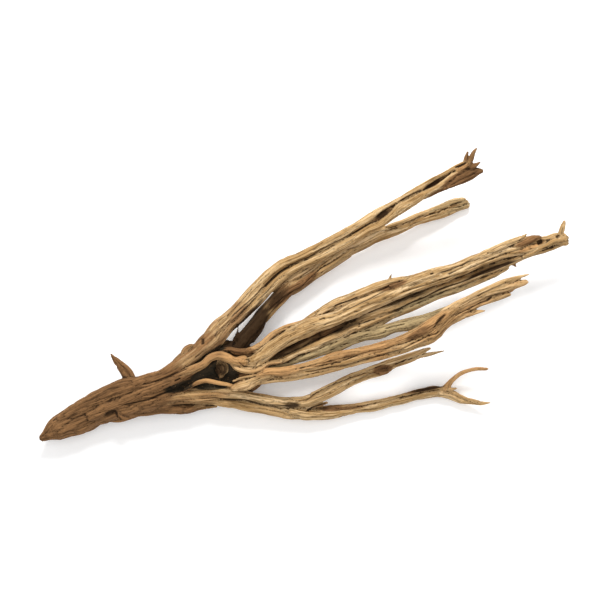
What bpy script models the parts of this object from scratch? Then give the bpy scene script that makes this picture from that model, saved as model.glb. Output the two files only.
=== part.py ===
"""A piece of driftwood: a weathered trunk that splits into seven bare, stringy arms.

Metres, +Z up. The wood lies on a surface as it would be put down, on three of its lowest
points. +X runs along it from the trunk's tip to the ends of the arms, the origin is in the
middle of its outline, and Z = 0 is the surface. It grew as one piece, so it is one solid.
"""

import bmesh
import bpy

MM = 0.001

# Driving dimensions, in millimetres.
LENGTH = 709.0  # from the trunk's tip to the end of the middle arm
VOXEL = 2.6  # size of the cells in which the strands grow together
FACES = 8400  # triangles left on the finished surface
RING_STEPS = 3  # a strand's section has 4 * (RING_STEPS + 1) sides
ROUTE_STEPS = 4  # pieces between two of a strand's points

# The colour of the wood's middle tone, and its finish.
WOOD_COLOUR = (0.50, 0.33, 0.18, 1.0)
WOOD_ROUGHNESS = 0.85

# Each strand of the wood: where its middle runs, and its radius there, in millimetres.
STRANDS = {
    # The trunk, tapered to its broken tip, and the swollen heart where it splits.
    "trunk": [(-352, 9, 25, 4), (-345, 13, 24, 9), (-333, 15, 24, 13), (-317, 15, 23, 17),
              (-292, 17, 22, 20), (-261, 20, 22, 22), (-229, 18, 27, 27), (-199, 13, 28, 27.5),
              (-177, 8, 31, 29), (-155, 2, 33, 27.5)],
    "heart": [(-177, 6, 32, 25), (-151, 3, 33, 26.5), (-125, 1, 35, 31), (-103, -4, 36, 32),
              (-83, -7, 37, 25), (-64, -8, 38, 16)],
    "throat": [(-70, 2, 34, 10), (-39, 6, 36, 9), (-5, 6, 38, 9), (28, 7, 42, 8), (62, 8, 46, 7)],
    "thorn": [(-226, 32, 34, 11), (-223, 46, 37, 7.5), (-226, 59, 41, 4.5), (-230, 74, 48, 1.2)],
    "knuckle": [(-172, 22, 42, 9), (-159, 33, 43, 7.5), (-149, 45, 44, 3.5)],
    # The high arm: two strands side by side that end in a torn tip.
    "armRoot": [(-138, 25, 38, 15), (-117, 36, 38, 15), (-101, 40, 38, 11), (-87, 36, 36, 8)],
    "highOuter": [(-168, 29, 38, 10), (-149, 37, 40, 10), (-129, 46, 42, 10), (-113, 54, 43, 8),
                  (-74, 70, 42, 6), (-50, 81, 41, 6.5), (-22, 95, 41, 6.5), (6, 105, 41, 6),
                  (61, 109, 43, 6), (117, 117, 51, 6), (174, 126, 66, 6), (229, 134, 85, 5.5),
                  (249, 136, 93, 6), (265, 138, 99, 5), (275, 137, 102, 3)],
    "highInner": [(-145, 26, 38, 10), (-121, 39, 41, 10.5), (-102, 46, 42, 9.5), (-64, 62, 39, 7),
                  (-22, 81, 37, 7), (3, 92, 36, 6.5), (29, 96, 36, 6.5), (85, 101, 39, 7),
                  (139, 110, 52, 7), (187, 120, 67, 6), (232, 125, 84, 7.5), (252, 127, 91, 7.5),
                  (271, 127, 96, 5.5), (280, 123, 99, 3)],
    "highSpurA": [(263, 138, 98, 4), (269, 147, 102, 2), (272, 152, 104, 0.8)],
    "highSpurB": [(266, 136, 99, 4), (276, 144, 104, 2.2), (282, 151, 107, 0.8)],
    # The low arm, which leaves from under the high one and comes down to the surface.
    "lowArm": [(-88, 21, 34, 10), (-70, 34, 32, 10), (-54, 45, 30, 10), (-37, 54, 28, 10),
               (-16, 65, 26, 10), (4, 74, 25, 10), (28, 78, 24, 9.5), (81, 90, 22, 8),
               (137, 96, 20, 8), (191, 96, 15, 7), (218, 97, 11, 7), (238, 96, 8.5, 8),
               (252, 94, 8, 7)],
    # The bundle in the middle.
    "coreTop": [(-125, 22, 54, 8), (-105, 23, 55, 8), (-89, 14, 55, 8), (-72, 7, 55, 8),
                (-55, 8, 56, 9), (-36, 13, 56, 9.5), (6, 19, 56, 10), (46, 19, 58, 10),
                (107, 21, 60, 10), (134, 22, 60, 11), (161, 24, 60, 10.5), (213, 21, 58, 10),
                (267, 21, 56, 10.5), (288, 19, 55, 12.5), (305, 16, 54, 10.5), (339, 10, 52, 8.5),
                (350, 6, 52, 5)],
    "coreBack": [(-80, 22, 46, 6), (-50, 22, 48, 5), (-19, 28, 48, 5), (13, 28, 47, 5),
                 (32, 32, 48, 6), (73, 35, 51, 6.5), (113, 35, 54, 6), (145, 32, 56, 5)],
    "coreLow": [(-61, -6, 44, 6), (-37, -6, 45, 5), (-10, -5, 46, 5), (24, -4, 47, 6),
                (62, 0, 49, 7.5), (100, 2, 50, 8), (140, 3, 50, 8), (194, 3, 48, 8),
                (241, 3, 48, 7.5), (280, 4, 48, 6), (329, 8, 49, 5.5)],
    "coreSpur": [(120, 32, 54, 4), (128, 41, 57, 2), (131, 45, 58, 0.8)],
    "coreChip": [(294, 18, 54, 8), (307, 22, 56, 6), (321, 24, 58, 3)],
    "coreHook": [(344, 8, 53, 6), (350, 19, 56, 3), (354, 29, 59, 1.2)],
    # The grey arm, between the bundle and the hooked arm.
    "greyArm": [(-60, -9, 40, 7), (-27, -13, 41, 6), (14, -14, 43, 6.5), (41, -13, 44, 7),
                (67, -15, 46, 7), (92, -19, 52, 8), (130, -23, 66, 7.5), (149, -24, 73, 8.5),
                (185, -22, 80, 6)],
    # The hooked arm.
    "hookArm": [(-109, -7, 50, 8), (-81, -17, 50, 8), (-62, -20, 51, 8.5), (-43, -22, 52, 9.5),
                (7, -31, 57, 10.5), (58, -36, 65, 11), (109, -41, 75, 11), (133, -41, 80, 12),
                (150, -39, 84, 13.5), (164, -34, 86, 14), (182, -28, 86, 12.5),
                (207, -25, 85, 9.5), (248, -23, 82, 10), (261, -23, 81, 8.5), (283, -25, 80, 3)],
    "hookEdge": [(172, -22, 84, 5), (210, -19, 86, 5), (250, -17, 85, 4.5), (288, -16, 84, 1.5)],
    "hookSpur": [(195, -31, 83, 6), (209, -36, 82, 3), (222, -40, 81, 1.2)],
    # The leg that leaves from under the heart and forks.
    "leg": [(-182, -8, 27, 13), (-159, -13, 25, 12.5), (-138, -18, 23, 12), (-122, -24, 22, 12),
            (-104, -33, 21, 12), (-69, -55, 19, 12), (-36, -73, 18, 13), (-20, -77, 18, 14)],
    "forkUpper": [(-50, -60, 20, 8), (-17, -67, 24, 9.5), (15, -63, 29, 9.5), (36, -61, 32, 8.5),
                  (76, -61, 38, 9), (92, -62, 40, 7.5), (109, -61, 42, 5.5), (129, -62, 43, 5),
                  (143, -66, 43, 3.2), (156, -69, 43, 1.2)],
    "foot": [(-37, -75, 17, 10), (-2, -90, 14, 9.5), (17, -95, 12, 7.5), (48, -102, 10, 7),
             (73, -105, 9, 7), (112, -110, 8.3, 7.5), (137, -116, 8.2, 7.5), (149, -125, 9, 6),
             (162, -137, 11, 5), (176, -146, 13, 3.6), (190, -152, 16, 1.8)],
    "twig": [(132, -114, 8, 6), (148, -111, 12, 4.2), (161, -107, 18, 3.4), (175, -103, 23, 2.8),
             (187, -105, 27, 2.4), (200, -109, 30, 1.6)],
}


def wood_material():
    wood = bpy.data.materials.new("driftwood")
    wood.use_nodes = True
    finish = wood.node_tree.nodes["Principled BSDF"]
    finish.inputs["Base Color"].default_value = WOOD_COLOUR
    finish.inputs["Roughness"].default_value = WOOD_ROUGHNESS
    finish.inputs["Metallic"].default_value = 0.0
    return wood


def strand_curves():
    """One curve object that holds every strand as a round tube with closed ends."""
    curves = bpy.data.curves.new("strands", "CURVE")
    curves.dimensions = "3D"
    curves.bevel_mode = "ROUND"
    curves.bevel_depth = MM
    curves.bevel_resolution = RING_STEPS
    curves.resolution_u = ROUTE_STEPS
    curves.use_fill_caps = True
    for route in STRANDS.values():
        spline = curves.splines.new("BEZIER")
        spline.radius_interpolation = "CARDINAL"
        spline.bezier_points.add(len(route) - 1)
        for point, (x, y, z, radius) in zip(spline.bezier_points, route):
            point.co = (x * MM, y * MM, z * MM)
            point.radius = radius
            point.handle_left_type = "AUTO"
            point.handle_right_type = "AUTO"
    strands = bpy.data.objects.new("strands", curves)
    bpy.context.collection.objects.link(strands)
    return strands


def evaluated_mesh(thing):
    """The object's mesh as its modifiers leave it."""
    graph = bpy.context.evaluated_depsgraph_get()
    graph.update()
    return bpy.data.meshes.new_from_object(thing.evaluated_get(graph))


def keep_outer_skin(mesh):
    """Leave only the largest connected surface, so that no hollow is sealed inside the wood."""
    skin = bmesh.new()
    skin.from_mesh(mesh)
    unseen = set(skin.verts)
    islands = []
    while unseen:
        island = {unseen.pop()}
        edge_of_island = list(island)
        while edge_of_island:
            vert = edge_of_island.pop()
            for edge in vert.link_edges:
                other = edge.other_vert(vert)
                if other in unseen:
                    unseen.remove(other)
                    island.add(other)
                    edge_of_island.append(other)
        islands.append(island)
    islands.sort(key=len)
    for island in islands[:-1]:
        bmesh.ops.delete(skin, geom=list(island), context="VERTS")
    skin.to_mesh(mesh)
    skin.free()


def grown_together(strands):
    """The strands joined into one closed surface with soft creases between them."""
    tubes = bpy.data.objects.new("tubes", evaluated_mesh(strands))
    bpy.context.collection.objects.link(tubes)
    bpy.data.objects.remove(strands)
    remesh = tubes.modifiers.new("grow", "REMESH")
    remesh.mode = "VOXEL"
    remesh.voxel_size = VOXEL * MM
    mesh = evaluated_mesh(tubes)
    bpy.data.objects.remove(tubes)
    keep_outer_skin(mesh)
    return mesh


def stand_on_surface(mesh):
    """Put the origin in the middle of the outline, on the surface that the wood lies on."""
    low = [min(v.co[axis] for v in mesh.vertices) for axis in range(3)]
    high = [max(v.co[axis] for v in mesh.vertices) for axis in range(3)]
    # The route points are given to the nearest millimetre: this also makes the length exact.
    scale = LENGTH * MM / (high[0] - low[0])
    for vert in mesh.vertices:
        vert.co.x = (vert.co.x - (low[0] + high[0]) / 2) * scale
        vert.co.y = (vert.co.y - (low[1] + high[1]) / 2) * scale
        vert.co.z = (vert.co.z - low[2]) * scale


def thinned(mesh):
    """The same surface with fewer triangles, which sit where the wood curves most."""
    whole = bpy.data.objects.new("whole", mesh)
    bpy.context.collection.objects.link(whole)
    triangles = sum(len(face.vertices) - 2 for face in mesh.polygons)
    decimate = whole.modifiers.new("thin", "DECIMATE")
    decimate.ratio = FACES / triangles
    decimate.use_collapse_triangulate = True
    thin = evaluated_mesh(whole)
    bpy.data.objects.remove(whole)
    return thin


def main():
    for thing in list(bpy.data.objects):
        bpy.data.objects.remove(thing)
    mesh = thinned(grown_together(strand_curves()))
    keep_outer_skin(mesh)
    stand_on_surface(mesh)
    mesh.name = "driftwood"
    mesh.shade_smooth()
    mesh.materials.append(wood_material())
    driftwood = bpy.data.objects.new("driftwood", mesh)
    bpy.context.collection.objects.link(driftwood)


main()
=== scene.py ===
import math
import bpy
import numpy as np
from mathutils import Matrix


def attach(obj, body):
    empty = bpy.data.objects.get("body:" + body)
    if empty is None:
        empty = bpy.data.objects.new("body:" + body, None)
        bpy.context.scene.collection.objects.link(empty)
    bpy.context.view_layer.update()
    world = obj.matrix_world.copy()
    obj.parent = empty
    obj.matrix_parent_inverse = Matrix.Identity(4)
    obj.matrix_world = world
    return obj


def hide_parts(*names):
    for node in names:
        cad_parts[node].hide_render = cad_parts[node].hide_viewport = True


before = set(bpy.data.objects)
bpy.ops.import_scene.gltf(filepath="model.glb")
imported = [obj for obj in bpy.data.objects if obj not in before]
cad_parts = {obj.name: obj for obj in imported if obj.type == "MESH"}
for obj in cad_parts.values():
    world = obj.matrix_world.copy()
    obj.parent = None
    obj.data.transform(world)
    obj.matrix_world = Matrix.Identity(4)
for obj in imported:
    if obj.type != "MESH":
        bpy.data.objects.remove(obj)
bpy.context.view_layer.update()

# Lengths below are in millimetres, in the frame's own axes: X runs along the wood, Z is up.
mm = 0.001

# The points in the next three tables were picked by eye along the wood, and a separate script
# turned them into millimetres.

# Each strand of the wood: its tone (orange, grey, brown), its height against its width, and
# the points that its middle runs through: x, y, z and radius.
woodRoutes = {
    "trunk": ((0, 0, 1), 0.95, [(-351, 10, 25, 5.6), (-343, 11, 25, 9.1), (-333, 13, 24, 13.8),
        (-317, 15, 23, 17.6), (-298, 16, 22, 20.1), (-275, 19, 22, 20.7), (-256, 20, 24, 21.3),
        (-230, 18, 26, 24.8), (-204, 13, 27, 25.1), (-184, 10, 26, 21.3), (-164, 5, 24, 16.3),
        (-145, -1, 22, 11.3)]),
    "trunkCrown": ((0, 0, 1), 1, [(-320, 24, 34, 6.3), (-306, 26, 36, 8.1), (-287, 29, 38, 8.8),
        (-264, 31, 39, 10.6), (-237, 33, 43, 11.2), (-213, 30, 46, 10), (-190, 25, 47, 8.7),
        (-172, 24, 47, 5)]),
    "trunkWaist": ((0, 0, 1), 1, [(-284, 14, 36, 7.5), (-259, 17, 38, 9.4), (-234, 17, 42, 9.4),
        (-208, 19, 46, 8.1), (-185, 19, 49, 7.5), (-166, 19, 51, 6.2), (-150, 20, 54, 5),
        (-137, 20, 54, 3.1)]),
    "trunkSole": ((0, 0, 1), 1, [(-238, 2, 30, 6.3), (-216, -4, 28, 8.2), (-197, -9, 26, 8.2),
        (-178, -16, 22, 8.2), (-166, -22, 19, 6.9), (-151, -24, 17, 5), (-135, -29, 16, 3.1)]),
    "trunkFlank": ((0, 0, 1), 1, [(-331, 7, 14, 4.4), (-308, 4, 15, 6.9), (-290, 3, 16, 6.9),
        (-270, 5, 18, 6.9), (-250, 0, 18, 7.5), (-232, -2, 20, 6.3)]),
    "heart": ((0, 0.2, 0.8), 0.62, [(-204, 15, 22, 18.8), (-177, 9, 21, 22.6), (-151, 5, 20, 22.6),
        (-125, 2, 20, 26.4), (-103, -3, 20, 27.6), (-85, -8, 23, 22.6), (-68, -9, 29, 13.8)]),
    "throat": ((0, 0, 0.9), 1, [(-66, 3, 34, 7.5), (-39, 6, 34, 7.5), (-5, 6, 35, 6.9), (28, 7, 38, 6.3),
        (62, 9, 41, 5.6), (92, 8, 45, 5)]),
    "throatStrand": ((0.2, 0, 0.6), 1, [(-48, -1, 41, 3.1), (-31, 0, 42, 3.7), (-11, 2, 43, 4.1),
        (6, 4, 43, 4.1), (18, 5, 44, 3.1)]),
    "thorn": ((0, 0, 0.9), 1, [(-221, 34, 36, 8.4), (-221, 46, 38, 7.2), (-225, 59, 42, 5.6),
        (-228, 68, 46, 4.1), (-230, 75, 49, 1.9)]),
    "knuckle": ((0, 0, 0.8), 1, [(-187, 21, 43, 5.6), (-174, 26, 45, 8.1), (-160, 34, 46, 8.7),
        (-151, 40, 46, 6.9), (-144, 44, 45, 4.7)]),
    "knuckleTop": ((0, 0, 0.7), 1, [(-144, 37, 47, 5), (-146, 44, 48, 4.7), (-142, 48, 48, 4.7),
        (-133, 50, 46, 3.7)]),
    "flankScale": ((0, 0.3, 0.3), 0.9, [(-195, -11, 24, 3.1), (-186, -16, 24, 4.1), (-175, -22, 22, 4.4),
        (-165, -24, 20, 3.5), (-148, -28, 18, 2.2), (-133, -32, 18, 1.3)]),
    "flankFlap": ((0, 0.5, 0.2), 0.7, [(-172, -22, 27, 2.5), (-164, -23, 27, 3.4), (-156, -23, 25, 2.5),
        (-148, -25, 22, 1.6)]),
    "lipHigh": ((0.6, 0, 0), 1, [(-170, 22, 52, 2.5), (-154, 23, 55, 4.4), (-139, 23, 57, 5.3),
        (-126, 24, 59, 5.6), (-116, 28, 60, 5.6), (-105, 27, 61, 5.6), (-97, 21, 61, 5.9),
        (-89, 13, 60, 5.6), (-79, 10, 59, 6.2)]),
    "lipInner": ((0.35, 0, 0), 1, [(-95, 12, 56, 2.5), (-91, 5, 58, 3.7), (-84, -1, 58, 4),
        (-74, -5, 57, 4), (-63, -6, 56, 3.7), (-52, -4, 54, 3.1), (-37, -7, 51, 3.1)]),
    "lipUnder": ((0.2, 0, 0.8), 1, [(-91, -6, 46, 2.2), (-83, -8, 49, 3.4), (-73, -9, 50, 3.1),
        (-64, -10, 51, 2.5)]),
    "lipThin": ((0.4, 0, 0), 1, [(-101, -9, 51, 1.2), (-91, -9, 54, 1.9), (-79, -11, 56, 2.2),
        (-64, -13, 55, 2.2)]),
    "lipLow": ((1, 0, 0.1), 1, [(-162, 2, 44, 1.9), (-152, 4, 48, 2.5), (-142, 5, 52, 2.8),
        (-133, 4, 53, 2.8), (-124, -1, 53, 2.8), (-116, -6, 52, 2.8), (-108, -11, 49, 2.5),
        (-102, -16, 46, 2.5)]),
    "lipLeft": ((0, 0.2, 0.8), 1, [(-174, 12, 47, 2.5), (-161, 13, 49, 2.5), (-150, 13, 48, 1.9)]),
    "knotStub": ((0, 0.5, 0.45), 0.7, [(-109, 21, 42, 2.5), (-109, 17, 48, 5.3), (-108, 13, 51, 7.8),
        (-107, 10, 52, 7.8), (-110, 7, 51, 6.5), (-112, 3, 49, 4.1), (-115, -1, 44, 1.2)]),
    "knotChip": ((0, 0.6, 0.2), 1, [(-111, 19, 50, 1.6), (-111, 14, 55, 2.2), (-110, 7, 54, 1.6)]),
    "knotRoot": ((0, 0.5, 0.5), 1, [(-117, 17, 22, 5), (-112, 11, 34, 6.9), (-110, 9, 46, 6.9)]),
    "eyeBack": ((0, 0.3, 1), 1, [(-102, 31, 40, 4.4), (-91, 29, 43, 4.7), (-82, 23, 45, 5),
        (-71, 19, 46, 4.4), (-58, 19, 46, 3.7)]),
    "armRoot": ((0, 0, 0.25), 1, [(-270, 30, 34, 5), (-248, 31, 40, 7.5), (-223, 31, 45, 9.4),
        (-199, 30, 48, 8.7), (-181, 29, 49, 8.1), (-164, 32, 48, 8.7), (-149, 36, 47, 9.4),
        (-134, 40, 46, 10), (-119, 45, 45, 11.2), (-105, 50, 44, 11.2), (-92, 56, 43, 9.4)]),
    "forkBed": ((0, 0.3, 0.6), 1, [(-170, 26, 28, 6.3), (-147, 28, 29, 9.4), (-124, 32, 29, 10),
        (-102, 34, 28, 10), (-83, 29, 26, 8.2), (-68, 17, 30, 6.3), (-54, 12, 34, 5)]),
    "gapRoot": ((0, 0.2, 0.7), 1, [(-104, 35, 33, 3.8), (-96, 38, 33, 3.8), (-90, 40, 33, 2.5)]),
    "highOuter": ((0, 0.15, 0), 1, [(-131, 41, 42, 6.2), (-114, 50, 44, 7.5), (-94, 63, 44, 7.5),
        (-74, 70, 43, 6.6), (-50, 81, 42, 6.6), (-22, 95, 42, 6.6), (6, 105, 42, 6.2), (33, 106, 43, 5.9),
        (61, 109, 44, 5.9), (89, 112, 46, 6.2), (118, 118, 51, 5.3), (133, 121, 54, 5), (144, 124, 58, 3.7),
        (158, 126, 62, 3.1), (174, 128, 67, 3.4), (188, 130, 73, 3.7), (202, 132, 79, 4),
        (212, 134, 83, 3.4), (222, 136, 87, 2.8), (232, 137, 90, 2.8), (242, 138, 93, 3.1),
        (253, 140, 96, 2.8), (265, 141, 99, 2.8)]),
    "highInner": ((0, 0.15, 0), 1, [(-119, 39, 42, 8.1), (-102, 46, 43, 9.4), (-83, 55, 42, 7.5),
        (-64, 62, 40, 6.9), (-45, 70, 39, 6.9), (-22, 81, 38, 6.9), (3, 91, 37, 6.6), (29, 96, 37, 6.3),
        (56, 97, 38, 6.9), (85, 101, 40, 6.9), (101, 103, 43, 6.6), (113, 105, 46, 5.9),
        (126, 107, 49, 5.9), (138, 107, 52, 5.3), (150, 110, 56, 5), (160, 113, 60, 5.3),
        (171, 117, 64, 7.3), (187, 119, 70, 6.7), (202, 122, 78, 5.3), (210, 123, 81, 4),
        (219, 124, 85, 3.4), (230, 126, 89, 4), (238, 129, 92, 3.7), (248, 132, 95, 2.8),
        (258, 132, 97, 2.5)]),
    "highBed": ((0, 0.2, 0.5), 1, [(-92, 53, 36, 5.6), (-69, 63, 36, 5), (-46, 74, 36, 5), (-20, 87, 35, 5),
        (4, 98, 33, 5.6), (31, 101, 33, 5.6), (73, 105, 34, 5.6), (115, 111, 40, 5.6), (137, 113, 45, 5),
        (156, 115, 50, 3.7)]),
    "highTongue": ((0.1, 0, 0), 1, [(-117, 45, 49, 3.7), (-101, 54, 49, 4.4), (-83, 62, 48, 4.4),
        (-63, 71, 47, 4.4), (-44, 79, 46, 3.7), (-25, 88, 45, 3.1)]),
    "highBark": ((0, 0, 1), 0.9, [(202, 118, 74, 1.9), (215, 120, 79, 3.7), (228, 122, 84, 5.2),
        (242, 124, 87, 6.8), (257, 125, 90, 8), (268, 126, 93, 7.1), (276, 125, 96, 4.3)]),
    "highChip": ((1, 0, 0.2), 0.8, [(251, 135, 97, 2.2), (256, 135, 98, 3.1), (262, 136, 100, 3.1),
        (268, 138, 101, 2.5)]),
    "highTornBed": ((0.1, 0, 1), 1, [(122, 115, 45, 4.4), (139, 117, 50, 5.6), (155, 119, 54, 5.6),
        (172, 122, 58, 5), (192, 125, 66, 5), (211, 128, 74, 5.6), (228, 132, 80, 5.6), (242, 134, 85, 5.6),
        (255, 134, 88, 5.6), (268, 134, 92, 4.9)]),
    "highSpurA": ((0, 0, 0.8), 1, [(264, 140, 97, 3.1), (267, 146, 101, 2.8), (271, 151, 104, 1.8)]),
    "highSpurB": ((0, 0, 0.7), 1, [(266, 136, 98, 3.7), (272, 142, 102, 3.4), (277, 148, 105, 2.6),
        (282, 151, 107, 1.2)]),
    "highSpurC": ((0, 0, 0.9), 1, [(269, 133, 98, 3.7), (275, 133, 101, 2.8), (280, 134, 102, 1.5)]),
    "highSpurD": ((0, 0, 1), 1, [(267, 124, 93, 4.3), (273, 124, 96, 3.4), (279, 123, 97, 2.2)]),
    "lowArm": ((0, 0, 0.1), 1, [(-88, 22, 32, 7.5), (-74, 31, 32, 9.4), (-56, 43, 30, 9.7),
        (-37, 54, 28, 9.7), (-16, 65, 26, 9.7), (4, 74, 25, 9.7), (28, 78, 24, 9.4), (54, 84, 23, 8.8),
        (81, 90, 22, 8.2), (109, 93, 21, 8.2), (137, 96, 20, 8.2), (163, 95, 18, 7.5), (191, 96, 15, 6.9),
        (202, 96, 14, 7.6), (218, 95, 11, 7.9), (237, 96, 8, 8.2), (249, 94, 8, 6.9)]),
    "lowArmEdge": ((0, 0, 0.7), 1, [(-61, 29, 30, 3.1), (-44, 40, 28, 3.4), (-33, 50, 26, 1.9),
        (-27, 56, 25, 2.5), (-11, 65, 23, 2.5), (16, 68, 20, 3.1), (43, 75, 18, 2.8), (66, 80, 18, 3.1),
        (92, 85, 18, 2.5)]),
    "lowArmBack": ((0, 0, 0.7), 1, [(-76, 39, 38, 3.8), (-55, 49, 36, 3.4), (-34, 60, 34, 3.1),
        (-14, 71, 33, 3.1), (9, 80, 32, 3.1)]),
    "lowArmTop": ((0.3, 0, 0), 1, [(21, 74, 30, 3.1), (47, 80, 29, 3.1), (74, 86, 28, 3.1),
        (97, 91, 27, 2.5)]),
    "highWeb": ((0, 0.2, 0.5), 1, [(-15, 80, 33, 3.8), (3, 85, 32, 5), (23, 88, 31, 5), (44, 92, 30, 4.4)]),
    "lowArmRidge": ((0.1, 0, 0), 1, [(150, 102, 25, 2.5), (168, 101, 24, 3.1), (193, 102, 20, 3.1),
        (217, 102, 16, 3.1), (236, 102, 13, 3.8), (251, 100, 12, 3.1)]),
    "lowSpur": ((0, 0, 0.8), 1, [(-82, 37, 38, 2.5), (-75, 45, 39, 1.6), (-71, 51, 40, 0.6)]),
    "coreTop": ((0, 0, 0), 1, [(-85, 11, 52, 5), (-73, 6, 54, 6.2), (-55, 8, 56, 8.4), (-36, 13, 56, 9.3),
        (-15, 17, 56, 9.6), (6, 19, 56, 10), (26, 19, 57, 9.6), (46, 18, 58, 9.3), (66, 19, 59, 9.6),
        (86, 20, 60, 9.3), (107, 21, 60, 9.6), (134, 22, 60, 10.6), (161, 23, 60, 10.6), (187, 21, 59, 9.6),
        (213, 21, 58, 9.6), (240, 22, 57, 9.3), (265, 22, 56, 9.3), (282, 20, 55, 8.7), (299, 14, 54, 6.8),
        (314, 11, 54, 5.6), (326, 11, 54, 5.3), (339, 10, 54, 6.2), (346, 7, 54, 6.5)]),
    "coreBed": ((0, 0.3, 0.6), 1, [(24, 19, 42, 6.2), (47, 20, 44, 10), (74, 20, 46, 10.6),
        (100, 20, 47, 11.2), (126, 18, 47, 10.6), (152, 16, 46, 10.6), (185, 15, 45, 10),
        (218, 13, 44, 9.4), (251, 11, 44, 8.1), (280, 11, 45, 5)]),
    "coreBedHigh": ((0, 0.2, 0.6), 1, [(44, 29, 46, 3.7), (71, 31, 48, 4.4), (100, 31, 50, 5),
        (121, 29, 52, 4.4)]),
    "coreCrown": ((0, 0.1, 0), 1, [(124, 31, 66, 2.5), (139, 28, 68, 3.7), (162, 28, 68, 4),
        (189, 27, 66, 3.7), (215, 25, 65, 3.7), (242, 26, 64, 3.7), (266, 28, 64, 4), (285, 29, 63, 3.7),
        (298, 29, 62, 3.1), (306, 31, 62, 1.2)]),
    "coreBack": ((0, 0.25, 0), 1, [(6, 29, 45, 2.5), (18, 31, 46, 3.7), (32, 33, 47, 5), (53, 36, 49, 5.6),
        (73, 36, 51, 5.6), (93, 37, 53, 5.6), (113, 37, 55, 5), (132, 35, 57, 5), (151, 32, 58, 3.7),
        (177, 31, 59, 3.1), (203, 28, 60, 2.5)]),
    "coreRim": ((0.7, 0, 0.1), 1, [(-72, 19, 46, 4.4), (-62, 20, 48, 3.4), (-49, 22, 50, 3.4),
        (-34, 28, 51, 3.7), (-19, 30, 52, 3.7), (-2, 29, 52, 3.4), (14, 28, 52, 3.1), (31, 26, 53, 3.1),
        (55, 25, 54, 3.1), (77, 26, 56, 2.8), (98, 26, 59, 2.5)]),
    "rimBed": ((0.3, 0, 0.5), 1, [(-63, 15, 46, 3.7), (-37, 21, 47, 5), (-12, 24, 47, 5), (12, 24, 48, 5),
        (31, 23, 48, 3.7)]),
    "coreLow": ((0, 0.1, 0), 1, [(-52, -4, 47, 3.7), (-37, -7, 47, 3.7), (-10, -5, 47, 3.7),
        (6, -5, 47, 4.7), (24, -4, 47, 5.6), (44, -3, 48, 5.9), (62, 0, 49, 5.9), (79, -1, 50, 4.4),
        (99, -1, 50, 4.1), (125, -1, 50, 3.7)]),
    "coreBedLow": ((0, 0.5, 0.4), 1, [(13, -7, 41, 3.7), (36, -9, 41, 5.6), (58, -9, 42, 5.6),
        (80, -8, 43, 6.2), (100, -6, 43, 5), (119, -4, 43, 3.1)]),
    "coreLowUpper": ((0, 0.3, 0.2), 1, [(53, 2, 48, 3.1), (69, 5, 50, 5), (88, 6, 51, 5.6),
        (108, 5, 51, 5.6), (128, 5, 51, 5.6), (155, 6, 51, 5.6), (181, 6, 51, 5), (208, 5, 50, 5),
        (235, 6, 50, 5), (255, 6, 50, 5), (275, 6, 49, 5), (296, 7, 49, 5), (315, 6, 49, 4.4),
        (331, 6, 50, 3.1)]),
    "coreUnder": ((0, 0.5, 0.1), 1, [(86, 0, 46, 2.5), (104, -5, 46, 3.1), (124, -4, 46, 4.7),
        (152, -3, 46, 4.7), (179, -1, 45, 5.3), (206, -2, 44, 5.3), (232, -2, 44, 5), (253, -1, 45, 4.4),
        (268, 0, 46, 3.4)]),
    "coreUnderLow": ((0, 0.4, 0.4), 1, [(114, -4, 40, 2.5), (138, -5, 40, 3.8), (165, -3, 39, 3.8),
        (192, -2, 38, 3.8), (219, -3, 38, 3.8)]),
    "coreSpur": ((0, 0, 0.8), 1, [(120, 34, 56, 3.1), (127, 40, 59, 1.9), (131, 45, 61, 0.6)]),
    "coreChip": ((0.5, 0, 0.9), 0.8, [(277, 21, 58, 3.1), (291, 22, 60, 5), (303, 23, 61, 5.6),
        (313, 23, 61, 4.4), (319, 22, 61, 2.5)]),
    "coreHook": ((0, 0.1, 0.3), 1, [(343, 9, 54, 5), (347, 17, 56, 4), (351, 23, 58, 3.6),
        (355, 28, 60, 2.4)]),
    "coreKnuckle": ((0.1, 0, 0.2), 1, [(320, 19, 56, 3.1), (329, 17, 57, 3.4), (339, 16, 57, 3.7),
        (349, 11, 57, 4)]),
    "coreTailLow": ((0, 0.3, 0.2), 1, [(289, 8, 50, 4.4), (304, 6, 51, 3.7), (320, 4, 51, 3.7),
        (333, 3, 51, 3.1), (342, 3, 52, 2.5)]),
    "coreBarb": ((0, 0.1, 0.9), 1, [(266, 7, 47, 3.1), (273, 5, 48, 2.8), (278, 2, 48, 2.4),
        (280, -2, 48, 1.4)]),
    "coreTailBed": ((0, 0.1, 0.8), 1, [(298, 18, 50, 6.2), (318, 15, 50, 5.6), (337, 11, 50, 6.2),
        (347, 7, 51, 5)]),
    "coreWavy": ((0, 0.1, 0), 1, [(292, 6, 55, 1.9), (303, 6, 57, 2.5), (314, 8, 58, 2.8),
        (324, 8, 59, 3.1), (333, 10, 60, 3.1), (342, 9, 60, 3.4), (348, 8, 58, 4.4)]),
    "greyArm": ((0, 1, 0), 1, [(-57, -10, 41, 4.4), (-42, -12, 41, 3.7), (-26, -14, 41, 3.1),
        (-13, -14, 42, 4.1), (14, -14, 43, 5.9), (41, -13, 44, 6.2), (67, -15, 46, 6.2), (92, -19, 52, 6.9),
        (111, -19, 59, 6.2), (130, -23, 66, 7.4), (149, -24, 73, 8.1), (169, -24, 78, 7.4),
        (185, -22, 80, 5.6)]),
    "greyBed": ((0, 0.7, 0.3), 1, [(-54, -8, 38, 4.4), (-33, -9, 39, 5), (-12, -12, 40, 5),
        (11, -14, 41, 5), (34, -18, 43, 5), (53, -17, 45, 4.4), (74, -17, 46, 4.4), (90, -18, 48, 3.7)]),
    "greyRidge": ((0, 0.9, 0), 1, [(28, -12, 48, 2.5), (48, -11, 49, 3.1), (68, -12, 51, 3.1),
        (87, -15, 55, 2.5)]),
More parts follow.
